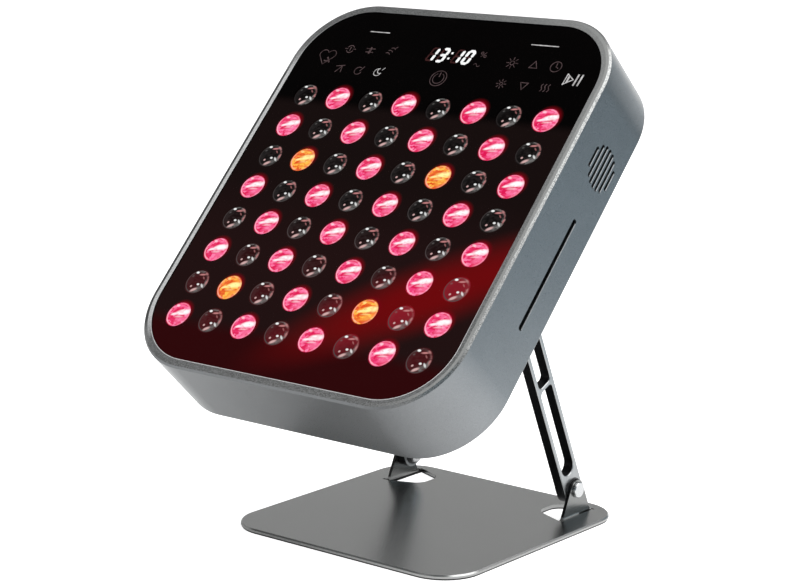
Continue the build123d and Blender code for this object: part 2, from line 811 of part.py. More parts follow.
with BuildPart() as speaker_basket:
    with BuildSketch(speaker_seat.offset(gasket_thickness + cone_thickness)):
        Circle(speaker_diameter / 2)
    extrude(amount=speaker_depth)
    with BuildSketch(speaker_seat.offset(gasket_thickness + cone_thickness)):
        Circle(speaker_recess)
    extrude(amount=speaker_depth - speaker_back_thickness, mode=Mode.SUBTRACT)
    with BuildSketch(speaker_seat.offset(gasket_thickness + cone_thickness + speaker_depth)):
        Circle(magnet_diameter / 2)
    extrude(amount=magnet_height)
write(speaker_basket.part, "speaker_basket")

# One fan, standing on the inside of the cover: frame with four struts, and rotor
with BuildPart() as fan_frame:
    with BuildSketch():
        RectangleRounded(fan_size, fan_size, fan_corner_radius)
        Circle(fan_bore / 2, mode=Mode.SUBTRACT)
        with GridLocations(fan_hole_pitch, fan_hole_pitch, 2, 2):
            Circle(small_thread_diameter / 2, mode=Mode.SUBTRACT)
    extrude(amount=fan_depth)
    with BuildSketch():
        Rectangle(fan_bore + fan_strut_width, fan_strut_width)
        Rectangle(fan_strut_width, fan_bore + fan_strut_width)
        Circle(fan_mount_diameter / 2)
        Circle(rotor_shaft_diameter / 2 + bore_clearance, mode=Mode.SUBTRACT)
    extrude(amount=fan_mount_thickness)

rotor_base = fan_mount_thickness + rotor_gap
blade_root = rotor_hub_diameter / 2 - rotor_blade_thickness
blade_length_radial = rotor_blade_span / 2 - blade_root
with BuildPart() as fan_rotor:
    with BuildSketch(Plane.XY.offset(rotor_base)):
        Circle(rotor_hub_diameter / 2)
    extrude(amount=rotor_hub_height)
    chamfer(fan_rotor.faces().sort_by(Axis.Z)[-1].edges(), rotor_gap)
    with Locations((0, 0, rotor_base + rotor_hub_height / 2)):
        with PolarLocations(blade_root + blade_length_radial / 2, rotor_blade_count):
            Box(blade_length_radial, rotor_blade_width, rotor_blade_thickness, rotation=(rotor_blade_pitch, 0, 0))
    with BuildSketch(Plane.XY.offset(rotor_gap)):
        Circle(rotor_shaft_diameter / 2)
    extrude(amount=fan_mount_thickness)

for side_name, place in zip(("left", "right"), fan_places):
    for piece_name, piece in (("fan_frame", fan_frame.part), ("fan_rotor", fan_rotor.part)):
        with BuildPart(head.offset(-cover_front)) as placed:
            with Locations(place):
                add(piece)
        write(placed.part, f"{piece_name}_{side_name}")

# Rear cover: grilles before the fans, cut-outs of inlet and rocker, posts of the power supply
fan_hole_step = fan_hole_pitch / 2
fan_screw_places = [
    (u + sign_u * fan_hole_step, v + sign_v * fan_hole_step)
    for u, v in fan_places for sign_u in (-1, 1) for sign_v in (-1, 1)
]
supply_hole_u, supply_hole_v = supply_hole_pitch
supply_centre_u, supply_centre_v = supply_centre
supply_post_places = [
    (supply_centre_u + sign_u * supply_hole_u / 2, supply_centre_v + sign_v * supply_hole_v / 2)
    for sign_u in (-1, 1) for sign_v in (-1, 1)
]


def cut_rectangle(place, size):
    """Cut-out in the cover that a snap-in body passes with the fit gap around it."""
    width, height = size
    with Locations(place):
        Rectangle(width + 2 * fit_gap, height + 2 * fit_gap, mode=Mode.SUBTRACT)


with BuildPart() as rear_cover:
    with BuildSketch(head.offset(-head_depth)):
        inset_outline(rear_recess_inset + fit_gap)
        with Locations(cover_screw_places + fan_screw_places):
            Circle(small_pass_diameter / 2, mode=Mode.SUBTRACT)
        with Locations(bracket_screw_places):
            Circle(big_pass_diameter / 2, mode=Mode.SUBTRACT)
        cut_rectangle(inlet_place, inlet_body)
        cut_rectangle(rocker_place, rocker_body)
    extrude(amount=cover_thickness)
    with BuildSketch(head.offset(-head_depth)):
        with Locations(fan_places):
            round_slots(cover_grille_radius, cover_grille_pitch, cover_grille_slot_width)
    extrude(amount=cover_thickness, mode=Mode.SUBTRACT)
    with BuildSketch(head.offset(-cover_front)):
        with Locations(supply_post_places):
            Circle(supply_post_diameter / 2)
            Circle(small_thread_diameter / 2, mode=Mode.SUBTRACT)
    extrude(amount=supply_standoff)
write(rear_cover.part, "rear_cover")
write(small_screws(rear, from_behind(cover_screw_places), cover_screw_length), "rear_cover_screws")
write(small_screws(rear, from_behind(fan_screw_places), fan_screw_length), "fan_screws")

# Power supply: board on the posts, transformer and capacitors
with BuildPart() as supply_board:
    with BuildSketch(head.offset(-supply_back)):
        with Locations(supply_centre):
            Rectangle(*supply_board_size)
        with Locations(supply_post_places):
            Circle(small_pass_diameter / 2, mode=Mode.SUBTRACT)
    extrude(amount=board_thickness)
write(supply_board.part, "supply_board")
write(small_screws(head.offset(-supply_front), supply_post_places, supply_screw_length), "supply_board_screws")

with BuildPart(head.offset(-supply_front)) as transformer:
    with Locations((supply_centre_u + transformer_offset[0], supply_centre_v + transformer_offset[1])):
        Box(*transformer_size, align=(Align.CENTER, Align.CENTER, Align.MIN))
write(transformer.part, "transformer")

with BuildPart() as capacitors:
    with BuildSketch(head.offset(-supply_front)):
        with Locations((supply_centre_u + capacitor_offset[0], supply_centre_v + capacitor_offset[1])):
            with GridLocations(capacitor_pitch, capacitor_pitch, 2, 2):
                Circle(capacitor_diameter / 2)
    extrude(amount=capacitor_height)
write(capacitors.part, "capacitors")

# Power inlet: snap-in socket with three blades
def rear_place(place):
    """Plane on the outside of the cover at a place, facing backwards."""
    u, v = place
    return Plane(origin=rear.from_local_coords((-u, v, 0)), x_dir=rear.x_dir, z_dir=rear.z_dir)


inlet_plane = rear_place(inlet_place)
with BuildPart() as power_inlet:
    with BuildSketch(inlet_plane):
        Rectangle(*inlet_flange)
    extrude(amount=inlet_flange_thickness)
    with BuildSketch(inlet_plane):
        Rectangle(*inlet_body)
    extrude(amount=-inlet_body_depth)
    with BuildSketch(inlet_plane.offset(inlet_flange_thickness)):
        cavity = Rectangle(*inlet_cavity)
        chamfer(cavity.vertices().sort_by(Axis.Y)[-2:], inlet_corner_chamfer)
    extrude(amount=-inlet_cavity_depth, mode=Mode.SUBTRACT)
    with BuildSketch(inlet_plane):
        with Locations(blade_places):
            Rectangle(blade_width + 2 * bore_clearance, blade_height + 2 * bore_clearance)
    extrude(amount=-inlet_body_depth, mode=Mode.SUBTRACT)
write(power_inlet.part, "power_inlet")

with BuildPart() as inlet_blades:
    with BuildSketch(inlet_plane.offset(inlet_flange_thickness - blade_end_gap)):
        with Locations(blade_places):
            Rectangle(blade_width, blade_height)
    extrude(amount=-blade_length)
write(inlet_blades.part, "inlet_blades")

# Rocker switch: snap-in frame, and a rocker on two pins, pressed down at its right end
rocker_plane = rear_place(rocker_place)
rocker_axis = Axis((0, 0, 0), rocker_plane.y_dir)
with BuildPart() as rocker_frame:
    with BuildSketch(rocker_plane):
        Rectangle(*rocker_flange)
    extrude(amount=rocker_flange_thickness)
    with BuildSketch(rocker_plane):
        Rectangle(*rocker_body)
    extrude(amount=-rocker_body_depth)
    with BuildSketch(rocker_plane.offset(rocker_flange_thickness)):
        Rectangle(*rocker_opening)
    extrude(amount=-rocker_flange_thickness - rocker_floor_depth, mode=Mode.SUBTRACT)
    with BuildSketch(Plane(origin=rocker_plane.origin, x_dir=rocker_plane.x_dir, z_dir=rocker_plane.y_dir)):
        Circle(rocker_pin_diameter / 2 + bore_clearance)
    extrude(amount=rocker_width / 2 + rocker_pin_reach + bore_clearance, both=True, mode=Mode.SUBTRACT)
write(rocker_frame.part, "rocker_frame")

rocker_profile = Plane(origin=rocker_plane.origin, x_dir=rocker_plane.x_dir.rotate(rocker_axis, rocker_throw),
                       z_dir=-rocker_plane.y_dir)
with BuildPart() as rocker_button:
    with BuildSketch(rocker_profile):
        Polygon((-rocker_foot_half_length, -rocker_foot_depth), (rocker_foot_half_length, -rocker_foot_depth),
                (rocker_half_length, 0), (rocker_half_length, rocker_end_height), (0, rocker_middle_height),
                (-rocker_half_length, rocker_end_height), (-rocker_half_length, 0), align=None)
    extrude(amount=rocker_width / 2, both=True)
    with BuildSketch(rocker_profile):
        Circle(rocker_pin_diameter / 2)
    extrude(amount=rocker_width / 2 + rocker_pin_reach, both=True)
write(rocker_button.part, "rocker_button")
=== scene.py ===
import math

import bmesh
import bpy
from mathutils import Matrix, Vector


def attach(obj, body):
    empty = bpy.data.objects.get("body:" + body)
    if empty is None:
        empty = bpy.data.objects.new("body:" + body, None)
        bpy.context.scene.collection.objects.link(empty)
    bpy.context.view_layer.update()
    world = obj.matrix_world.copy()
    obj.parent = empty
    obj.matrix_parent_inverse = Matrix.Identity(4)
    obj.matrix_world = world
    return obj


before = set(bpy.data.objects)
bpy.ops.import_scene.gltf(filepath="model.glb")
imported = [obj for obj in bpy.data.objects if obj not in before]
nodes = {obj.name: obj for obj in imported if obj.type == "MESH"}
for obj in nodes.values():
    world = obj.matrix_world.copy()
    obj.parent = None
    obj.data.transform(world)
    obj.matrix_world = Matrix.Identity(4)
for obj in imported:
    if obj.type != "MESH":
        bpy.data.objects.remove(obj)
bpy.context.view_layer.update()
mm = 0.001
bpy.context.scene.view_settings.view_transform = "Standard"

# The head leans back. Its lit front is the frame of the lenses, the marks and the shell's finish:
# millimetres across it, up it and behind its rim.
headPlane = {"tilt": 43.62, "origin": (0, -53.6044, 206.5618)}
tilt = math.radians(headPlane["tilt"])
sideways = Vector((1, 0, 0))
headUp = Vector((0, math.sin(tilt), math.cos(tilt)))
headOut = Vector((0, -math.cos(tilt), math.sin(tilt)))
headOrigin = Vector(headPlane["origin"]) * mm


def headPoint(u, v, depth=0.0):
    # from millimetres on the head to a point in metres
    return headOrigin + Vector((u * mm, 0, 0)) + headUp * v * mm - headOut * depth * mm


def headMatrix(u, v, depth=0.0, turn=0.0):
    # local X across, Y up the front, Z out of it
    place = Matrix((sideways, headUp, headOut)).transposed().to_4x4()
    place.translation = headPoint(u, v, depth)
    return place @ Matrix.Rotation(math.radians(turn), 4, "Z")


class Graph:
    # short calls that add nodes to one node tree
    def __init__(self, tree):
        self.tree = tree
        self.place = self.add("ShaderNodeTexCoord")

    def add(self, kind):
        return self.tree.nodes.new(kind)

    def link(self, source, target):
        self.tree.links.new(source, target)

    def fill(self, socket, value):
        # a number or a colour is set on the socket, anything else is linked to it
        if isinstance(value, (int, float)):
            socket.default_value = value
        elif isinstance(value, tuple):
            socket.default_value = (*value, 1)
        else:
            self.link(value, socket)

    def noise(self, scale, detail=2, stretch=(1, 1, 1)):
        mapping = self.add("ShaderNodeMapping")
        mapping.inputs["Scale"].default_value = stretch
        texture = self.add("ShaderNodeTexNoise")
        texture.inputs["Scale"].default_value = scale
        texture.inputs["Detail"].default_value = detail
        self.link(self.place.outputs["Object"], mapping.inputs["Vector"])
        self.link(mapping.outputs[0], texture.inputs["Vector"])
        return texture.outputs["Fac"]

    def remap(self, value, low, high, toLow, toHigh, smooth=False):
        node = self.add("ShaderNodeMapRange")
        node.interpolation_type = "SMOOTHSTEP" if smooth else "LINEAR"
        for name, number in (("From Min", low), ("From Max", high), ("To Min", toLow), ("To Max", toHigh)):
            node.inputs[name].default_value = number
        self.link(value, node.inputs["Value"])
        return node.outputs[0]

    def between(self, value, rising, falling, smooth=False):
        return self.math("MULTIPLY", self.remap(value, *rising, 0, 1, smooth),
                         self.remap(value, *falling, 1, 0, smooth))

    def math(self, operation, *values):
        node = self.add("ShaderNodeMath")
        node.operation = operation
        for socket, value in zip(node.inputs, values):
            self.fill(socket, value)
        return node.outputs[0]

    def dot(self, vector, direction):
        node = self.add("ShaderNodeVectorMath")
        node.operation = "DOT_PRODUCT"
        node.inputs[1].default_value = direction
        self.link(vector, node.inputs[0])
        return node.outputs["Value"]

    def toward(self, u, v, turn):
        # how far a place lies along an axis that is turned from u towards v
        angle = math.radians(turn)
        return self.math("ADD", self.math("MULTIPLY", u, math.cos(angle)),
                         self.math("MULTIPLY", v, math.sin(angle)))

    def radius(self, u, v):
        return self.math("SQRT", self.math("ADD", self.math("MULTIPLY", u, u), self.math("MULTIPLY", v, v)))

    def mix(self, factor, first, second):
        node = self.add("ShaderNodeMix")
        node.data_type = "RGBA"
        self.fill(node.inputs[6], first)
        self.fill(node.inputs[7], second)
        self.fill(node.inputs[0], factor)
        return node.outputs[2]


class Finish(Graph):
    # one material around its Principled shader
    def __init__(self, name):
        self.material = bpy.data.materials.new(name)
        self.material.use_nodes = True
        super().__init__(self.material.node_tree)
        self.shader = self.tree.nodes["Principled BSDF"]

    def set(self, **sockets):
        for name, value in sockets.items():
            self.shader.inputs[name.replace("_", " ")].default_value = value

    def along(self, direction, offset=0.0):
        # metres along a direction from a plane
        return self.math("SUBTRACT", self.dot(self.place.outputs["Object"], direction), offset)

    def headPlace(self):
        # millimetres across the head's front and up it
        return (self.math("MULTIPLY", self.along(sideways), 1 / mm),
                self.math("MULTIPLY", self.along(headUp, headOrigin.dot(headUp)), 1 / mm))

    def tones(self, value, spread, dark, light):
        return self.mix(self.remap(value, *spread, 0, 1), dark, light)

    def bump(self, height, strength, distance):
        node = self.add("ShaderNodeBump")
        node.inputs["Strength"].default_value = strength
        node.inputs["Distance"].default_value = distance
        self.link(height, node.inputs["Height"])
        self.link(node.outputs[0], self.shader.inputs["Normal"])

    def colour(self, value):
        self.link(value, self.shader.inputs["Base Color"])

    def rough(self, value):
        self.link(value, self.shader.inputs["Roughness"])

    def shine(self, tone, strength):
        self.link(tone, self.shader.inputs["Emission Color"])
        self.set(Emission_Strength=strength)


# The camera was fitted to the photograph, in millimetres and degrees. The lamps are in metres. Metal
# mirrors the studio: a glow on the near floor, a shade across it, a cool right side, a card far behind.
studio = {
    "camera": {"place": (798.9, -1034.6, 409.0), "azimuth": 38.609, "elevation": 11.661, "roll": 0.577,
               "lens": 103.73, "sensor": 36, "clip": (0.05, 30)},
    "sky": {"level": 0.6, "cloth": (-0.611, -0.238, 0.754), "clothLevel": 0.03, "clothReach": (0.955, 0.99)},
    "floor": {"radius": 6, "wall": 3.2, "sides": 64, "matt": 0.8, "glow": 0.85,
              "near": 0.1, "far": 0.8, "nearGlow": 1.25, "farGlow": 0.0,
              "coolSide": (1, 0.2, 0), "coolReach": (0.1, 0.7), "coolColour": (0.74, 0.9, 1.0),
              "darkest": -0.06, "shadeReach": (0.0, 0.28), "shadeLevel": 0.0,
              "cardSide": (-0.382, 0.923, -3.0), "cardReach": (3.0, 4.5), "cardGlow": 1.4},
    "lamps": {
        "key": {"place": (1.2, 0.6, 2.0), "aim": (0, 0, 0.12), "size": 2.4, "power": 38},
        "front": {"place": (-0.5, -1.6, 1.9), "aim": (0, 0, 0.2), "size": 1.4, "power": 5},
    },
}


def makeCamera(s):
    azimuth, elevation, roll = (math.radians(s[k]) for k in ("azimuth", "elevation", "roll"))
    back = Vector((math.sin(azimuth) * math.cos(elevation), -math.cos(azimuth) * math.cos(elevation),
                   math.sin(elevation)))
    right = (-back).cross(Vector((0, 0, 1))).normalized()
    up = right.cross(-back)
    rolledRight = math.cos(roll) * right + math.sin(roll) * up
    rolledUp = -math.sin(roll) * right + math.cos(roll) * up
    data = bpy.data.cameras.new("camera")
    data.lens, data.sensor_width, data.sensor_fit = s["lens"], s["sensor"], "HORIZONTAL"
    data.clip_start, data.clip_end = s["clip"]
    camera = bpy.data.objects.new("camera", data)
    place = Matrix((rolledRight, rolledUp, back)).transposed().to_4x4()
    place.translation = Vector(s["place"]) * mm
    camera.matrix_world = place
    bpy.context.collection.objects.link(camera)
    bpy.context.scene.camera = camera


def makeLamps(lamps):
    for name, s in lamps.items():
        data = bpy.data.lights.new(name, "AREA")
        data.shape, data.size, data.energy = "DISK", s["size"], s["power"]
        lamp = bpy.data.objects.new(name, data)
        lamp.location = s["place"]
        lamp.rotation_euler = (Vector(s["aim"]) - Vector(s["place"])).to_track_quat("-Z", "Y").to_euler()
        bpy.context.collection.objects.link(lamp)


def makeSky(s):
    # plain sky with a dark cloth hung where the glossy front mirrors it
    world = bpy.data.worlds.new("studio")
    bpy.context.scene.world = world
    world.use_nodes = True
    g = Graph(world.node_tree)
    background = g.tree.nodes["Background"]
    background.inputs["Color"].default_value = (1, 1, 1, 1)
    toCloth = g.dot(g.place.outputs["Generated"], s["cloth"])
    level = g.remap(toCloth, *s["clothReach"], s["level"], s["clothLevel"], True)
    g.link(level, background.inputs["Strength"])


def backdrop(s):
    # matt white that keeps the shadow, lifted to plain white for the camera; mirrors see its own glow
    f = Finish("studioWhite")
    path = f.add("ShaderNodeLightPath").outputs
    place = f.add("ShaderNodeNewGeometry").outputs["Position"]
    reach = f.add("ShaderNodeVectorMath")
    reach.operation = "LENGTH"
    f.link(place, reach.inputs[0])
    fade = f.remap(reach.outputs["Value"], s["near"], s["far"], s["nearGlow"], s["farGlow"])
    toCool = f.dot(place, s["coolSide"])
    aside = f.math("ABSOLUTE", f.math("SUBTRACT", toCool, s["darkest"]))
    shade = f.remap(aside, *s["shadeReach"], s["shadeLevel"], 1)
    card = f.remap(f.dot(place, s["cardSide"]), *s["cardReach"], 0, s["cardGlow"])
    image = f.math("ADD", f.math("MULTIPLY", shade, fade), card)
    mirrored = f.math("MULTIPLY", path["Is Glossy Ray"], image)
    seen = f.math("MAXIMUM", path["Is Camera Ray"], path["Is Transmission Ray"])
    cool = f.math("MULTIPLY", path["Is Glossy Ray"], f.remap(toCool, *s["coolReach"], 0, 1))
    white = (s["matt"],) * 3
    matt = f.add("ShaderNodeBsdfDiffuse")
    f.link(f.mix(cool, white, tuple(s["matt"] * share for share in s["coolColour"])), matt.inputs["Color"])
    glow = f.add("ShaderNodeEmission")
    f.link(f.math("MULTIPLY_ADD", seen, s["glow"], mirrored), glow.inputs["Strength"])
    surface = f.add("ShaderNodeAddShader")
    f.link(matt.outputs[0], surface.inputs[0])
    f.link(glow.outputs[0], surface.inputs[1])
    f.link(surface.outputs[0], f.tree.nodes["Material Output"].inputs["Surface"])
    f.tree.nodes.remove(f.shader)
    return f


def makeFloor(s):
    # a round floor with its wall, open above
    mesh = bmesh.new()
    bmesh.ops.create_circle(mesh, cap_ends=True, radius=s["radius"], segments=s["sides"])
    rim = [edge for edge in mesh.edges if edge.is_boundary]
    wall = bmesh.ops.extrude_edge_only(mesh, edges=rim)
    bmesh.ops.translate(mesh, vec=(0, 0, s["wall"]),
                        verts=[item for item in wall["geom"] if isinstance(item, bmesh.types.BMVert)])
    data = bpy.data.meshes.new("floor")
    mesh.to_mesh(data)
    mesh.free()
    floor = bpy.data.objects.new("floor", data)
    data.materials.append(backdrop(s).material)
    bpy.context.collection.objects.link(floor)


makeCamera(studio["camera"])
makeLamps(studio["lamps"])
makeSky(studio["sky"])
makeFloor(studio["floor"])
print("studio done")

# How every metal and plastic mixes its noises: the span of a noise that is stretched to full contrast,
# the share of slow patches and fine grain in the tone, and the strength of the grain in the surface
metalMix = {"blotch": 25, "spread": (0.3, 0.7), "slow": 0.45, "fine": 0.55, "bump": 0.35}
plasticMix = {"blotch": 60, "toneSpread": (0.35, 0.65), "spread": (0.3, 0.7), "bump": 0.25, "grain": 900,
              "height": 0.00004}


def give(names, finish):
    for name in names.split():
        for materialSlot in nodes[name].material_slots:
            materialSlot.material = finish.material


def metal(name, s):
    # blasted or rolled metal: slow tone changes, a fine grain in gloss and height
    f = Finish(name)
    f.set(Metallic=1.0)
    slow = f.noise(metalMix["blotch"])
    fine = f.remap(f.noise(s["grain"]), *metalMix["spread"], 0, 1)
    blend = f.math("ADD", f.math("MULTIPLY", slow, metalMix["slow"]),
                   f.math("MULTIPLY", fine, metalMix["fine"]))
    f.tone = f.mix(blend, s["dark"], s["light"])
    f.colour(f.tone)
    f.gloss = f.remap(fine, 0, 1, *s["rough"])
    f.rough(f.gloss)
    f.bump(fine, metalMix["bump"], s["height"])
    return f


def plastic(name, s):
    f = Finish(name)
    speck = f.noise(s.get("grain", plasticMix["grain"]))
    f.tone = f.tones(f.noise(plasticMix["blotch"]), plasticMix["toneSpread"], s["dark"], s["light"])
    f.colour(f.tone)
    f.rough(f.remap(speck, *plasticMix["spread"], *s["rough"]))
    f.bump(speck, plasticMix["bump"], s.get("height", plasticMix["height"]))
    return f


# Grain is a noise scale, height its depth in metres. A place across or up the head is in millimetres,
# and a pair is where a ramp starts and ends.
housing = {
    "dark": (0.17, 0.178, 0.184), "light": (0.24, 0.249, 0.255), "rough": (0.26, 0.36), "grain": 1700,
    "height": 0.00003,
    "halfWidth": 113.8, "halfHeight": 132.85, "corner": 45.5, "frontBand": (-0.0022, -0.0018),
    "grit": 1500, "gritSpread": (0.4, 0.62), "rimFacing": (0.93, 0.97), "rimWidth": 5.85, "rimRough": 0.25,
    "rimDark": (0.17, 0.174, 0.174), "rimLight": (0.33, 0.335, 0.335),
    # painted light on the rim: lighter on the left with a dark outer strip of painted shade; painted
    # highlights towards the upper right, round the glass at the lower left and along the right
    "paintedLightLeftAcross": (-96, -107), "paintedLightLeftUp": (100, 75), "paintedLightLeftDark": (0.75, 0.76, 0.76),
    "paintedLightLeftPale": (0.98, 0.98, 0.98),
    "outerBand": 2.9, "outerFade": 0.3, "outer": (0.12, 0.125, 0.125),
    "paintedHighlightBand": (0.62, 0.63, 0.62), "cornerRise": 0.7, "paintedHighlightCornerReach": (60, 165), "paintedHighlightCornerShare": 0.4,
    "paintedHighlightRightAcross": (70, 108), "paintedHighlightRightShare": 0.6,
    "paintedHighlightLineInset": (0.7, 0.4), "paintedHighlightLineSlope": 0.8, "paintedHighlightLineReach": (60, 0), "line": (1, 1, 1),
    # painted highlight on the bevel on the right, painted shade on the bevels in the side openings
    "bevelRising": (0.6, 0.66), "bevelFalling": (0.78, 0.84), "bevelRight": (0.2, 0.5),
    "bevelSpread": (0.35, 0.6), "bevel": (0.36, 0.365, 0.36),
    "cutRising": (0.55, 0.65), "cutFalling": (0.78, 0.9), "cutFacing": (0.66, 0.7), "cutAcross": (113, 113.3),
    "paintedShadeOpening": (0.004, 0.004, 0.004),
}


def edgeDistance(f, across, up, s):
    # distance inwards from the outline of the head's front, right along its border
    outside = [f.math("MAXIMUM", f.math("SUBTRACT", f.math("ABSOLUTE", place), half - s["corner"]), 0)
               for place, half in ((across, s["halfWidth"]), (up, s["halfHeight"]))]
    return f.math("SUBTRACT", s["corner"], f.radius(*outside))


def blastedShell(s):
    f = metal("housingAluminium", s)
    across, up = f.headPlace()
    normal = f.place.outputs["Normal"]
    facing, toSide = f.dot(normal, headOut), f.dot(normal, sideways)
    inset = edgeDistance(f, across, up, s)
    grit = f.noise(s["grit"], 1)
    # the rim's grainy front, with painted light: a painted highlight on the left with a dark outer strip of
    # painted shade, and a paler painted highlight towards the upper right
    rim = f.tones(grit, s["gritSpread"], s["rimDark"], s["rimLight"])
    left = f.math("MULTIPLY", f.remap(across, *s["paintedLightLeftAcross"], 0, 1), f.remap(up, *s["paintedLightLeftUp"], 0, 1))
    rim = f.mix(left, rim, f.tones(grit, s["gritSpread"], s["paintedLightLeftDark"], s["paintedLightLeftPale"]))
    outer = f.remap(inset, s["outerBand"], s["outerBand"] + s["outerFade"], 1, 0)
    rim = f.mix(f.math("MULTIPLY", outer, left), rim, s["outer"])
    corner = f.math("ADD", across, f.math("MULTIPLY", up, s["cornerRise"]))
    rim = f.mix(f.remap(corner, *s["paintedHighlightCornerReach"], 0, s["paintedHighlightCornerShare"]), rim, s["paintedHighlightBand"])
    # painted highlights: a light line round the glass at the lower left, a pale outer strip on the right
    inner = f.remap(inset, *[s["rimWidth"] - gap for gap in s["paintedHighlightLineInset"]], 0, 1)
    lowLeft = f.remap(f.math("ADD", up, f.math("MULTIPLY", across, s["paintedHighlightLineSlope"])), *s["paintedHighlightLineReach"], 0, 1)
    rim = f.mix(f.math("MULTIPLY", inner, lowLeft), rim, s["line"])
    right = f.remap(across, *s["paintedHighlightRightAcross"], 0, s["paintedHighlightRightShare"])
    rim = f.mix(f.math("MULTIPLY", outer, right), rim, s["paintedHighlightBand"])
    front = f.remap(f.along(headOut, headOrigin.dot(headOut)), *s["frontBand"], 0, 1)
    isRim = f.math("MULTIPLY", f.remap(facing, *s["rimFacing"], 0, 1), front)
    tone = f.mix(isRim, f.tone, rim)
    # a painted highlight on the bevel on the right, painted shade on the bevels in the side openings
    bevel = f.math("MULTIPLY", f.between(facing, s["bevelRising"], s["bevelFalling"]), front)
    bevel = f.math("MULTIPLY", bevel, f.remap(toSide, *s["bevelRight"], 0, 1))
    tone = f.mix(bevel, tone, f.tones(grit, s["bevelSpread"], s["rimDark"], s["bevel"]))
    cut = f.between(toSide, s["cutRising"], s["cutFalling"])
    cut = f.math("MULTIPLY", cut, f.remap(facing, *s["cutFacing"], 1, 0))
    cut = f.math("MULTIPLY", cut, f.remap(across, *s["cutAcross"], 0, 1))
    f.colour(f.mix(cut, tone, s["paintedShadeOpening"]))
    f.rough(f.math("ADD", f.gloss, f.math("MULTIPLY", isRim, s["rimRough"])))
    return f


# the raised ears and their edges are darkened with painted shade
base = {"dark": (0.36, 0.365, 0.36), "light": (0.40, 0.405, 0.40), "rough": (0.24, 0.27), "grain": 2600,
        "height": 0.000001, "foldTop": (0.0036, 0.0046), "cutFacing": (0.35, 0.6),
        "paintedShadeEdge": (0.03, 0.03, 0.03), "paintedEarShade": 0.45}


def foldedSteel(s):
    # painted shade: the ears that stand up from the sheet are darker than it, and their cut edges darkest
    f = metal("baseSteel", s)
    toSide = f.math("ABSOLUTE", f.dot(f.place.outputs["Normal"], sideways))
    edge = f.remap(toSide, *s["cutFacing"], 1, s["paintedEarShade"])
    raised = f.remap(f.along((0, 0, 1)), *s["foldTop"], 0, 1)
    f.colour(f.mix(f.math("MULTIPLY", edge, raised), f.tone, s["paintedShadeEdge"]))
    return f


# the edge tones are painted shade on the edge faces and slot walls
arm = {"sideDark": (0.27, 0.28, 0.285), "sideLight": (0.38, 0.39, 0.395), "drawn": 1500,
       "drawnStretch": (1, 1, 0.02), "paintedShadeEdgeDark": (0.008, 0.008, 0.009), "paintedShadeEdgeLight": (0.025, 0.025, 0.027),
       "edgeGrain": 700, "facing": (0.3, 0.6), "rough": (0.5, 0.3), "grain": 2500, "bump": 0.2,
       "height": 0.00003}


def armMetal(s):
    # polished side faces; blasted edge faces and slot walls made near black with painted shade
    f = Finish("armAluminium")
    f.set(Metallic=1.0)
    toSide = f.math("ABSOLUTE", f.dot(f.place.outputs["Normal"], sideways))
    facing = f.remap(toSide, *s["facing"], 0, 1)
    side = f.mix(f.noise(s["drawn"], 2, s["drawnStretch"]), s["sideDark"], s["sideLight"])
    edge = f.mix(f.noise(s["edgeGrain"]), s["paintedShadeEdgeDark"], s["paintedShadeEdgeLight"])
    f.colour(f.mix(facing, edge, side))
    f.rough(f.remap(facing, 0, 1, *s["rough"]))
    f.bump(f.noise(s["grain"]), s["bump"], s["height"])
    return f


rocker = {"dark": (0.008, 0.008, 0.009), "light": (0.02, 0.02, 0.022), "rough": (0.12, 0.2), "grain": 700,
          "height": 0.00001, "centre": (-75, -52.9), "reach": 4.4, "ring": 1.5, "line": 0.45, "bar": 1.8,
          "barFade": 0.2, "mark": (0.7, 0.7, 0.69)}


def markedRocker(s):
    # the two plain switch marks: a ring at one end and a bar at the other
    f = plastic("rockerGloss", s)
    u, v = (f.math("SUBTRACT", place, middle) for place, middle in zip(f.headPlace(), s["centre"]))
    half, fade = s["line"] / 2, s["line"]
    toRing = f.math("SUBTRACT", f.radius(f.math("SUBTRACT", u, s["reach"]), v), s["ring"])
    ring = f.remap(f.math("ABSOLUTE", toRing), half, fade, 1, 0)
    toBar = f.math("ABSOLUTE", f.math("ADD", u, s["reach"]))
    bar = f.math("MULTIPLY", f.remap(toBar, half, fade, 1, 0),
                 f.remap(f.math("ABSOLUTE", v), s["bar"], s["bar"] + s["barFade"], 1, 0))
    f.colour(f.mix(f.math("MAXIMUM", ring, bar), f.tone, s["mark"]))
    return f


metals = {
    "rearAluminium": {"on": "rear_cover", "dark": (0.10, 0.105, 0.11), "light": (0.16, 0.165, 0.17),
                      "rough": (0.42, 0.55), "grain": 1500, "height": 0.00005},
    "bracketSteel": {"on": "hinge_bracket", "dark": base["dark"], "light": base["light"],
                     "rough": base["rough"], "grain": base["grain"], "height": base["height"]},
    "pivotSteel": {"on": "lower_pivot_bolts upper_pivot_bolts lower_pivot_nuts upper_pivot_nuts",
                   "dark": (0.47, 0.475, 0.48), "light": (0.62, 0.625, 0.63), "rough": (0.16, 0.28),
                   "grain": 1800, "height": 0.00001},
    "screwSteel": {"on": "bracket_screws rear_cover_screws fan_screws led_board_screws heat_sink_screws "
                         "control_board_screws supply_board_screws bracket_backing_plate",
                   "dark": (0.05, 0.05, 0.053), "light": (0.12, 0.12, 0.125), "rough": (0.28, 0.45),
                   "grain": 1200, "height": 0.00002},
    "sinkAluminium": {"on": "heat_sink", "dark": (0.45, 0.46, 0.47), "light": (0.6, 0.61, 0.62),
                      "rough": (0.3, 0.45), "grain": 1200, "height": 0.00003},
    "contactBrass": {"on": "inlet_blades touch_pads", "dark": (0.5, 0.36, 0.16), "light": (0.68, 0.5, 0.24),
                     "rough": (0.22, 0.38), "grain": 1500, "height": 0.00001},
    "stampedSteel": {"on": "speaker_basket capacitors", "dark": (0.25, 0.25, 0.26),
                     "light": (0.4, 0.4, 0.41), "rough": (0.3, 0.45), "grain": 1200, "height": 0.00002},
}
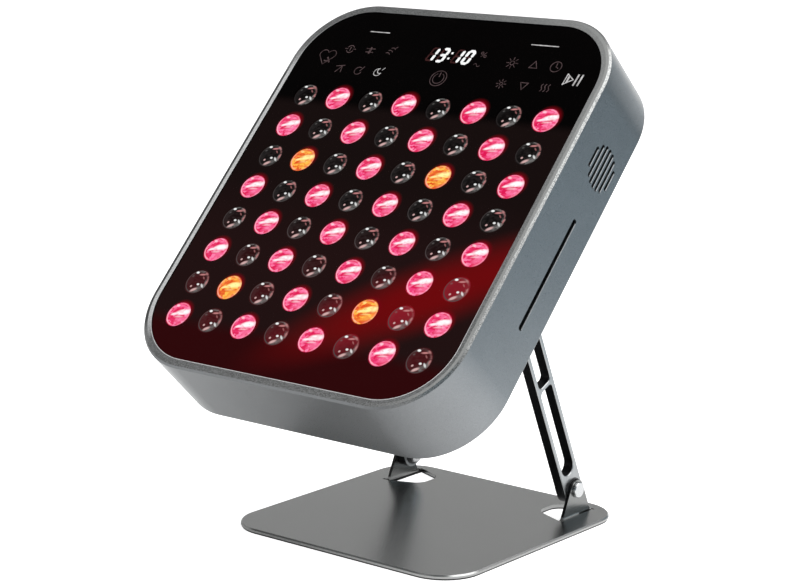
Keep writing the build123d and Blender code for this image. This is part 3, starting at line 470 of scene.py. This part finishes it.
plastics = {
    "washerNylon": {"on": "lower_friction_washers upper_friction_washers", "dark": (0.02, 0.02, 0.021),
                    "light": (0.04, 0.04, 0.042), "rough": (0.4, 0.55)},
    "padRubber": {"on": "base_pad speaker_gasket panel_tape", "dark": (0.008, 0.008, 0.008),
                  "light": (0.02, 0.02, 0.02), "rough": (0.7, 0.9), "grain": 500, "height": 0.00008},
    "mouldedBlack": {"on": "power_inlet rocker_frame fan_frame_left fan_frame_right fan_rotor_left "
                           "fan_rotor_right",
                     "dark": (0.012, 0.012, 0.013), "light": (0.028, 0.028, 0.03), "rough": (0.35, 0.5)},
    "conePaper": {"on": "speaker_cone", "dark": (0.02, 0.02, 0.02), "light": (0.045, 0.043, 0.04),
                  "rough": (0.75, 0.9), "grain": 500, "height": 0.0001},
    "boardGreen": {"on": "led_board supply_board", "dark": (0.01, 0.07, 0.03), "light": (0.02, 0.11, 0.05),
                   "rough": (0.3, 0.45)},
    "boardBlack": {"on": "control_board control_chips transformer", "dark": (0.012, 0.012, 0.014),
                   "light": (0.03, 0.03, 0.033), "rough": (0.4, 0.55)},
    "displayFilter": {"on": "display_module", "dark": (0.01, 0.004, 0.004), "light": (0.02, 0.006, 0.006),
                      "rough": (0.1, 0.2)},
    "emitterResin": {"on": "red_leds amber_leds infrared_leds", "dark": (0.5, 0.42, 0.1),
                     "light": (0.65, 0.55, 0.2), "rough": (0.2, 0.3)},
}

give("housing_shell", blastedShell(housing))
give("base_plate", foldedSteel(base))
give("left_arm right_arm", armMetal(arm))
give("rocker_button", markedRocker(rocker))
for makeFinish, table in ((metal, metals), (plastic, plastics)):
    for name, s in table.items():
        give(s["on"], makeFinish(name, s))
print("metal and moulded finishes done")

# The lenses stand in rows and columns, and every second cell is lit
lensGrid = {"columnPitch": 25, "rowPitch": 22.98, "middle": -18.6, "count": 8}


def cellOf(f, s=lensGrid):
    # places on the head's front, places from the nearest lens centre, and 1 where that lens is lit
    across, up = f.headPlace()
    half, count = s["count"] / 2, s["count"]
    column = f.math("ADD", f.math("DIVIDE", across, s["columnPitch"]), half)
    row = f.math("ADD", f.math("DIVIDE", f.math("SUBTRACT", s["middle"], up), s["rowPitch"]), half)
    u = f.math("MULTIPLY", f.math("SUBTRACT", f.math("FRACT", column), 0.5), s["columnPitch"])
    v = f.math("MULTIPLY", f.math("SUBTRACT", 0.5, f.math("FRACT", row)), s["rowPitch"])
    lit = f.math("MODULO", f.math("ADD", f.math("FLOOR", column), f.math("FLOOR", row)), 2)
    for place in (row, column):
        inside = f.math("MULTIPLY", f.math("GREATER_THAN", place, 0), f.math("LESS_THAN", place, count))
        lit = f.math("MULTIPLY", lit, inside)
    return across, up, u, v, lit


def ellipseSpot(f, u, v, centre, size, turn, soft):
    # 1 inside a turned ellipse, fading over its edge
    du, dv = f.math("SUBTRACT", u, centre[0]), f.math("SUBTRACT", v, centre[1])
    a = f.math("DIVIDE", f.toward(du, dv, turn), size[0])
    b = f.math("DIVIDE", f.toward(du, dv, turn + 90), size[1])
    return f.remap(f.radius(a, b), 1.0 - soft, 1.0 + soft, 1, 0, True)


# the panel's emitted tones are painted glow: a faint field, a red haze and red halos round the lit lenses
panel = {
    "rough": 0.06, "specular": 0.3, "patch": 40, "black": (0.001, 0.0006, 0.0006),
    "top": (0.0003, 0.0002, 0.0002), "field": (0.0072, 0.0036, 0.0034), "low": (0.0137, 0.0050, 0.0050),
    "foot": (0.026, 0.0016, 0.0022), "fieldTop": (53, 61), "lowFrom": (15, -50), "footTop": (-96, -108),
    "glow": (0.150, 0.0018, 0.0028), "paintedHaze": ((72, -60), (76, 17), 32, 0.7), "cloud": 16,
    "cloudSpread": (0.3, 0.7), "cloudShare": (0.85, 1.1),
    "paintedHalo": (0.16, 0.0008, 0.005), "haloCentre": (1.6, 1.2), "haloReach": (6.6, 9.5), "haloFall": 1.5,
}


def smokedPanel(s):
    # dark glossy front with painted glow: a faint glow that grows towards the foot, a red haze low on the
    # right, a red halo round every lit lens
    f = Finish("smokedPanel")
    across, up, u, v, lit = cellOf(f)
    f.set(Roughness=s["rough"], Specular_IOR_Level=s["specular"])
    f.colour(f.mix(f.noise(s["patch"]), s["black"], s["top"]))
    tone = f.mix(f.remap(up, *s["fieldTop"], 0, 1, True), s["field"], s["top"])
    tone = f.mix(f.remap(up, *s["lowFrom"], 0, 1, True), tone, s["low"])
    tone = f.mix(f.remap(up, *s["footTop"], 0, 1, True), tone, s["foot"])
    cloud = f.remap(f.noise(s["cloud"]), *s["cloudSpread"], *s["cloudShare"])
    tone = f.mix(f.math("MULTIPLY", ellipseSpot(f, across, up, *s["paintedHaze"]), cloud), tone, s["glow"])
    aside = f.radius(f.math("SUBTRACT", u, s["haloCentre"][0]), f.math("SUBTRACT", v, s["haloCentre"][1]))
    ring = f.math("POWER", f.remap(aside, *s["haloReach"], 1, 0), s["haloFall"])
    f.shine(f.mix(f.math("MULTIPLY", ring, lit), tone, s["paintedHalo"]), 1.0)
    return f


facets = {"slant": 18, "longScale": 0.5, "shortScale": 0.8, "acrossStep": 0.023, "upStep": 0.031,
          "smooth": 0.1}


def facetsOf(f, across, up, u, v, s=facets):
    # one value for each moulded facet: they are longer along one slant and differ from lens to lens
    drift = f.math("ADD", f.math("MULTIPLY", across, s["acrossStep"]), f.math("MULTIPLY", up, s["upStep"]))
    place = f.add("ShaderNodeCombineXYZ")
    f.link(f.math("MULTIPLY", f.toward(u, v, s["slant"]), s["longScale"]), place.inputs[0])
    f.link(f.math("MULTIPLY", f.toward(u, v, s["slant"] + 90), s["shortScale"]), place.inputs[1])
    f.link(drift, place.inputs[2])
    cells = f.add("ShaderNodeTexVoronoi")
    cells.feature = "SMOOTH_F1"
    cells.inputs["Smoothness"].default_value = s["smooth"]
    cells.inputs["Scale"].default_value = 1.0
    f.link(place.outputs[0], cells.inputs["Vector"])
    parts = f.add("ShaderNodeSeparateColor")
    f.link(cells.outputs["Color"], parts.inputs[0])
    return parts.outputs[0]


def addGlints(f, glow, u, v, tones, glints):
    for *shape, tone, share in glints:
        glow = f.mix(f.math("MULTIPLY", ellipseSpot(f, u, v, *shape), share), glow, tones[tone])
    return glow


arcFade = {"outside": 0.4, "inside": 0.1, "end": 0.25}


def rimArc(f, u, v, inner, outer, turn, reach, s=arcFade):
    # part of a thin ring along the rim, fading to both ends
    radius = f.radius(u, v)
    ring = f.between(radius, (inner - s["outside"], inner + s["inside"]),
                     (outer - s["inside"], outer + s["outside"]), True)
    cosine = f.math("DIVIDE", f.toward(u, v, turn), radius)
    return f.math("MULTIPLY", ring, f.remap(cosine, reach - s["end"], reach + s["end"], 0, 1, True))


litRed = {"deep": (0.70, 0.010, 0.085), "mid": (0.86, 0.05, 0.20), "pale": (0.95, 0.21, 0.40),
          "rim": (1.0, 0.45, 0.56), "edge": (0.42, 0.004, 0.03), "white": (1.0, 0.94, 0.96)}
litAmber = {"deep": (0.72, 0.075, 0.012), "mid": (0.90, 0.22, 0.025), "pale": (0.97, 0.50, 0.07),
            "rim": (0.96, 0.42, 0.30), "edge": (0.45, 0.03, 0.008), "white": (1.0, 0.90, 0.36)}
# A glint is an ellipse: centre, half sizes, turn, softness, tone and share, in millimetres and degrees.
# An arc along the rim has its inner and outer radius, its middle, its end as a cosine, and its share.
litCap = {
    "rough": 0.12, "specular": 0.15, "strength": 0.96, "dim": 0.85,
    "midFacets": (0.25, 0.6), "paleFacets": (0.6, 0.85),
    "under": (
        ((-1.2, 2.6), (3.0, 1.5), 10, 0.6, "deep", 0.7),
        ((-0.4, -2.8), (3.6, 0.9), 8, 0.6, "deep", 0.7),
        ((3.6, -3.6), (3.4, 1.6), 30, 0.6, "pale", 0.55),
        ((1.0, 5.6), (4.2, 0.8), -8, 0.7, "pale", 0.6),
    ),
    "core": ((3.0, 1.6), (4.3, 1.75), 22, 0.5), "coreFacets": (0.2, 0.5), "coreShare": (0.72, 1.0),
    "over": (
        ((-2.5, -0.7), (2.1, 0.75), 14, 0.6, "white", 0.85),
        ((-3.2, 5.4), (1.5, 0.8), -20, 0.6, "white", 0.5),
        ((1.8, -1.9), (2.6, 0.5), 12, 0.7, "white", 0.45),
        ((6.2, 2.6), (1.1, 2.4), -20, 0.6, "white", 0.55),
    ),
    "arcs": ((7.2, 7.7, 205, 0.55, 0.85), (7.3, 7.7, 20, 0.0, 0.4)),
    "edgeFrom": (7.8, 8.2), "edgeShare": 0.9,
}


def litLens(name, tones, s=litCap):
    # bright cap: facets of three tones, whitest to the right of the centre
    f = Finish(name)
    across, up, u, v = cellOf(f)[:4]
    f.set(Roughness=s["rough"], Specular_IOR_Level=s["specular"])
    facet = facetsOf(f, across, up, u, v)
    glow = f.tones(facet, s["midFacets"], tones["deep"], tones["mid"])
    glow = f.tones(facet, s["paleFacets"], glow, tones["pale"])
    glow = addGlints(f, glow, u, v, tones, s["under"])
    broken = f.remap(facet, *s["coreFacets"], *s["coreShare"])
    glow = f.mix(f.math("MULTIPLY", ellipseSpot(f, u, v, *s["core"]), broken), glow, tones["white"])
    glow = addGlints(f, glow, u, v, tones, s["over"])
    for *arc, share in s["arcs"]:
        glow = f.mix(f.math("MULTIPLY", rimArc(f, u, v, *arc), share), glow, tones["rim"])
    edge = f.remap(f.radius(u, v), *s["edgeFrom"], 0, 1, True)
    glow = f.mix(f.math("MULTIPLY", edge, s["edgeShare"]), glow, tones["edge"])
    f.shine(glow, s["strength"])
    f.colour(f.mix(s["dim"], glow, (0, 0, 0)))
    return f


# the unlit cap's tones are painted light: a faint glow, glints, reflections and a pale rim line
clearPaintedLight = {"cup": (0.006, 0.005, 0.005), "cupLight": (0.014, 0.011, 0.011),
              "cupTop": (0.0015, 0.0012, 0.0012), "paintedWarmGlow": (0.24, 0.011, 0.020), "grey": (0.17, 0.165, 0.16),
              "white": (0.92, 0.94, 0.93), "pink": (0.52, 0.21, 0.21), "pale": (0.66, 0.42, 0.41),
              "rim": (0.075, 0.06, 0.06)}
clearCapPaintedLight = {
    "rough": 0.1, "specular": 0.03, "strength": 0.95, "dim": 0.9,
    "cupFacets": (0.3, 0.7), "topFrom": (75, 30), "topShare": 0.75,
    "lowFrom": (-10, -110), "lowShare": 0.22, "hazeShare": 0.8, "coolShare": 0.35,
    "arcFacets": (0.25, 0.6), "arcShare": (0.15, 1.0),
    "arcs": ((6.5, 7.5, 88, 0.72, "grey", 0.8), (6.0, 7.5, -38, 0.62, "grey", 0.9),
             (6.9, 7.5, 30, 0.75, "pink", 0.45)),
    "ring": (7.35, 7.65, 215, -0.2), "ringFrom": (60, -60), "ringShare": (0.15, 1.0),
    "glints": (
        ((3.6, -4.2), (2.6, 1.1), 35, 0.6, "grey", 0.5),
        ((-2.9, 5.8), (1.2, 0.75), -10, 0.4, "white", 1.0),
        ((1.6, 4.9), (2.1, 0.65), 12, 0.5, "pink", 0.95),
        ((4.0, 6.0), (1.3, 0.6), -35, 0.6, "pink", 0.6),
        ((3.7, 2.8), (1.1, 0.4), -45, 0.6, "pink", 0.5),
        ((6.9, 0.2), (0.5, 1.3), 0, 0.6, "pink", 0.7),
        ((2.3, -2.0), (0.85, 0.65), 0, 0.4, "white", 0.9),
        ((5.2, -2.3), (1.3, 0.6), -48, 0.5, "white", 0.7),
        ((0.7, -5.8), (2.3, 0.75), 30, 0.5, "pale", 0.95),
        ((-2.1, -3.9), (0.75, 0.6), 20, 0.4, "pale", 0.9),
        ((-4.7, 2.9), (0.8, 0.6), 0, 0.6, "grey", 0.35),
    ),
}


def clearLensPaintedLight(tones, s=clearCapPaintedLight):
    # unlit cap in painted light: a faint painted glow in its dark cup, painted glints and reflections for its
    # facets, a painted red glow where the haze is, and a pale line round it as a painted highlight
    f = Finish("clearLensPaintedLight")
    across, up, u, v = cellOf(f)[:4]
    f.set(Roughness=s["rough"], Specular_IOR_Level=s["specular"])
    facet = facetsOf(f, across, up, u, v)
    glow = f.tones(facet, s["cupFacets"], tones["cup"], tones["cupLight"])
    glow = f.mix(f.remap(up, *s["topFrom"], s["topShare"], 0), glow, tones["cupTop"])
    paintedHaze = f.math("MULTIPLY", ellipseSpot(f, across, up, *panel["paintedHaze"]), s["hazeShare"])
    paintedWarmGlow = f.math("ADD", paintedHaze, f.remap(up, *s["lowFrom"], 0, s["lowShare"], True))
    glow = f.mix(paintedWarmGlow, glow, tones["paintedWarmGlow"])
    patchy = f.remap(facet, *s["arcFacets"], *s["arcShare"])
    patchy = f.math("MULTIPLY", patchy, f.remap(paintedWarmGlow, 0, 1, 1, s["coolShare"]))
    for *arc, tone, share in s["arcs"]:
        bright = f.math("MULTIPLY", rimArc(f, u, v, *arc), patchy)
        glow = f.mix(f.math("MULTIPLY", bright, share), glow, tones[tone])
    ring = f.math("MULTIPLY", rimArc(f, u, v, *s["ring"]), f.remap(up, *s["ringFrom"], *s["ringShare"]))
    glow = f.mix(ring, glow, tones["rim"])
    glow = addGlints(f, glow, u, v, tones, s["glints"])
    f.shine(glow, s["strength"])
    f.colour(f.mix(s["dim"], glow, (0, 0, 0)))
    return f


give("front_panel", smokedPanel(panel))
give("red_lenses", litLens("redLens", litRed))
give("amber_lenses", litLens("amberLens", litAmber))
give("infrared_lenses", clearLensPaintedLight(clearPaintedLight))
print("light field done")

# The marks are thin prints at the panel's front; line is the width of a stroke
marks = {"depth": 0.44, "thickness": 0.1, "line": 0.46, "smallLine": 0.4, "point": 0.42, "arcStep": 12,
         "leastSteps": 6, "upright": 0.9, "merge": 0.000001}
small = marks["smallLine"] / marks["line"]
ink = {"rough": 0.3, "specular": 0.2, "patch": 350, "spread": (0.35, 0.65), "dim": 0.9}


def markBar(mesh, u, v, length, width, turn=0.0, pointed=False):
    size = Matrix.Diagonal((length * mm, width * mm, marks["thickness"] * mm, 1))
    bar = bmesh.ops.create_cube(mesh, size=1, matrix=headMatrix(u, v, marks["depth"], turn) @ size)
    if pointed:
        # the four edges that run through the print's thickness
        upright = {edge for corner in bar["verts"] for edge in corner.link_edges
                   if abs((edge.verts[0].co - edge.verts[1].co).normalized().dot(headOut)) > marks["upright"]}
        bmesh.ops.bevel(mesh, geom=list(upright), offset=width * mm * marks["point"], segments=1,
                        profile=0.5, affect="EDGES", material=-1)


def markLine(mesh, width, start, end):
    du, dv = end[0] - start[0], end[1] - start[1]
    markBar(mesh, (start[0] + end[0]) / 2, (start[1] + end[1]) / 2, math.hypot(du, dv) + width, width,
            math.degrees(math.atan2(dv, du)))


def markArc(mesh, width, centre, radius, start, sweep):
    # a square section, turned upright at the arc's start and spun round its centre
    section = bmesh.ops.create_circle(mesh, cap_ends=False, segments=4, radius=math.sqrt(0.5))["verts"]
    size = Matrix.Diagonal((width * mm, marks["thickness"] * mm, 1, 1))
    place = (headMatrix(*centre, marks["depth"], start) @ Matrix.Translation((radius * mm, 0, 0))
             @ Matrix.Rotation(math.radians(90), 4, "X") @ size @ Matrix.Rotation(math.radians(45), 4, "Z"))
    bmesh.ops.transform(mesh, matrix=place, verts=section)
    edges = list({edge for corner in section for edge in corner.link_edges})
    bmesh.ops.spin(mesh, geom=section + edges, cent=headPoint(*centre), axis=headOut,
                   angle=math.radians(sweep), steps=max(marks["leastSteps"], int(sweep / marks["arcStep"])),
                   use_merge=sweep >= 360)


def drawKeys(mesh, keys):
    # a stroke with two points is a line, any other an arc; its first number is its share of the width
    for strokes in keys.values():
        for share, first, *rest in strokes:
            draw = markLine if len(rest) == 1 else markArc
            draw(mesh, marks["line"] * share, first, *rest)


def sunKey(middle, ring, inner, outer):
    # a small ring and eight rays
    turns = [math.radians(45 * step) for step in range(8)]
    rays = [(1, *[(middle[0] + reach * math.cos(turn), middle[1] + reach * math.sin(turn))
                  for reach in (inner, outer)]) for turn in turns]
    return [(1, middle, ring, 0, 360), *rays]


def arrowKey(middle, halfWidth, foot, tip):
    corners = [(middle[0] - halfWidth, middle[1] + foot), (middle[0] + halfWidth, middle[1] + foot),
               (middle[0], middle[1] + tip)]
    return [(1, first, second) for first, second in zip(corners, corners[1:] + corners[:1])]


def steamKey(middle, pitch, shift, radius):
    # three waves, each of two arcs that lie aside of its middle
    strokes = []
    for step in (-pitch, 0, pitch):
        strokes += [(1, (middle[0] + shift[0] + step, middle[1] + shift[1]), radius, 120, 120),
                    (1, (middle[0] - shift[0] + step, middle[1] - shift[1]), radius, -60, 120)]
    return strokes


# An arc is its share of the width, centre, radius, start angle and sweep; a line its share and its ends
faintKeys = {
    "power": ((1, (1.5, 82.9), 5.5, 0, 360), (1, (1.5, 82.9), 3.7, 118, 304), (1, (1.5, 84.2), (1.5, 87.0))),
    "heart": ((1, (-91.0, 93.0), 3.1, 25, 185), (1, (-85.0, 93.0), 3.1, -30, 185),
              (1, (-93.8, 91.8), (-88.3, 85.4)), (1, (-88.0, 85.4), (-82.4, 91.5)),
              (2.2, (-86.6, 90.4), (-84.2, 87.4)), (1.8, (-88.0, 88.0), (-84.6, 88.0))),
    "eye": ((1, (-73.5, 98.5), 2.5, 20, 140), (1, (-73.5, 98.1), 2.5, 200, 140),
            (1, (-77.4, 98.4), (-75.6, 98.4)), (1, (-71.4, 98.4), (-69.6, 98.4)),
            (1, (-73.5, 97.2), (-73.5, 99.6))),
    "joint": ((1, (-61.4, 98.5), 3.6, -42, 84), (1, (-55.2, 98.5), 3.6, 138, 84),
              (1, (-61.4, 99.8), (-55.2, 99.8)), (1, (-60.9, 97.2), (-55.7, 97.2))),
    "waves": (*[(1, (-44.6 + step * 1.2, 95.8 + step * 1.9), 2.2, 25, 100) for step in range(3)],
              (1, (-40.6, 101.4), (-39.4, 102.6))),
    "figure": ((1, (-76.6, 84.9), (-70.6, 85.9)), (1, (-75.4, 80.6), (-72.4, 84.9)),
               (1, (-71.4, 80.8), (-72.0, 84.6))),
    "turn": ((1, (-58.6, 82.9), 2.7, 60, 285), (1, (-57.4, 82.9), (-55.4, 86.2))),
    "brighter": sunKey((46.2, 98.5), 1.4, 2.5, 3.9),
    "dimmer": sunKey((46.2, 83.3), 1.0, 2.1, 3.2),
    "more": arrowKey((61.5, 98.5), 2.7, -2.2, 2.7),
    "less": arrowKey((61.5, 83.3), 2.7, 2.2, -2.7),
    "clock": ((1, (76.5, 98.5), 3.6, 0, 360), (1, (76.5, 98.5), (76.5, 100.9)),
              (1, (76.5, 98.5), (78.1, 97.6))),
    "warmth": steamKey((76.5, 83.3), 2.4, (1.1, 1.2), 1.6),
    "percent": ((small, (22.6, 103.7), 0.8, 0, 360), (small, (25.4, 101.5), 0.8, 0, 360),
                (small, (22.7, 101.0), (25.3, 104.2))),
    "smallWave": ((small, (21.6, 94.6), 1.1, 20, 150), (small, (23.9, 94.9), 1.1, 200, 150)),
}
brightKeys = {
    "night": ((0.91, (-43.9, 83.1), 2.6, 75, 262), (0.91, (-42.3, 84.3), 2.0, 118, 190),
              (0.78, (-41.3, 85.0), (-40.1, 86.7))),
    "start": ((1.3, (86.4, 86.9), (86.9, 94.3)), (1.3, (86.4, 86.9), (91.9, 90.7)),
              (1.3, (86.9, 94.3), (91.9, 90.7)), (2.6, (88.4, 89.0), (88.4, 92.2))),
    "stop": ((2.21, (93.6, 87.1), (94.1, 94.2)), (2.21, (96.4, 87.1), (96.9, 94.2))),
    "rules": ((1.3, (-65.6, 112.6), (-51.4, 112.6)), (1.3, (52.8, 112.6), (71.2, 112.6))),
}
display = {"digits": "13:10", "width": 5.9, "height": 11, "bar": 1.85, "slant": 13, "firstPlace": -11.7,
           "pitch": 7.6, "colonPlace": 1.3, "colonStep": 2.0, "colonDot": 1.3, "colonGap": 3.2,
           "middle": 99.7, "gap": 0.2, "overlap": 0.15, "ghostBar": 0.6}
# Segments of a digit: place across and up in half sizes, and whether the bar stands
segments = {"top": (0, 1, False), "topRight": (1, 0.5, True), "lowRight": (1, -0.5, True),
            "foot": (0, -1, False), "lowLeft": (-1, -0.5, True), "topLeft": (-1, 0.5, True),
            "middle": (0, 0, False)}
litSegments = {"0": "top topRight lowRight foot lowLeft topLeft", "1": "topRight lowRight",
               "3": "top topRight middle lowRight foot"}


def drawDigits(mesh, s, lit):
    lean = math.tan(math.radians(s["slant"]))
    wide, tall = s["width"] - s["bar"], s["height"] - s["bar"]
    place = s["firstPlace"]
    for sign in s["digits"]:
        if sign == ":":
            for step in (-s["colonStep"], s["colonStep"]) if lit else ():
                markBar(mesh, s["colonPlace"] + step * lean, s["middle"] + step, s["colonDot"], s["colonDot"])
            place += s["colonGap"]
            continue
        for part, (across, up, upright) in segments.items():
            if (part in litSegments[sign].split()) != lit:
                continue
            u, v = place + across * wide / 2 + up * tall / 2 * lean, up * tall / 2
            length = (tall / 2 if upright else wide) - s["gap"] + s["bar"] * s["overlap"]
            markBar(mesh, u, s["middle"] + v, length, s["bar"] * (1 if lit else s["ghostBar"]),
                    90 - s["slant"] if upright else 0, True)
        place += s["pitch"]


def printedMark(name, dark, light, strength, s=ink):
    # light shining through the print, a little uneven
    f = Finish(name)
    f.set(Roughness=s["rough"], Specular_IOR_Level=s["specular"])
    tone = f.tones(f.noise(s["patch"]), s["spread"], dark, light)
    f.shine(tone, strength)
    f.colour(f.mix(s["dim"], tone, (0, 0, 0)))
    return f


def markPiece(name, draw, finish):
    mesh = bmesh.new()
    draw(mesh)
    bmesh.ops.remove_doubles(mesh, verts=mesh.verts, dist=marks["merge"])
    bmesh.ops.holes_fill(mesh, edges=[edge for edge in mesh.edges if edge.is_boundary], sides=4)
    bmesh.ops.recalc_face_normals(mesh, faces=mesh.faces)
    data = bpy.data.meshes.new(name)
    mesh.to_mesh(data)
    mesh.free()
    data.materials.append(finish.material)
    piece = bpy.data.objects.new(name, data)
    bpy.context.collection.objects.link(piece)
    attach(piece, "head")


markPiece("displayDigits", lambda mesh: drawDigits(mesh, display, True),
          printedMark("digitWhite", (0.82, 0.84, 0.84), (1.0, 1.0, 1.0), 1.0))
markPiece("displayGhosts", lambda mesh: drawDigits(mesh, display, False),
          printedMark("digitGhost", (0.030, 0.005, 0.005), (0.055, 0.012, 0.012), 0.8))
markPiece("touchSymbols", lambda mesh: drawKeys(mesh, faintKeys),
          printedMark("symbolGrey", (0.036, 0.022, 0.023), (0.094, 0.062, 0.064), 1.0))
markPiece("brightSymbols", lambda mesh: drawKeys(mesh, brightKeys),
          printedMark("symbolWhite", (0.34, 0.33, 0.33), (0.62, 0.61, 0.61), 1.0))
print("marks done")
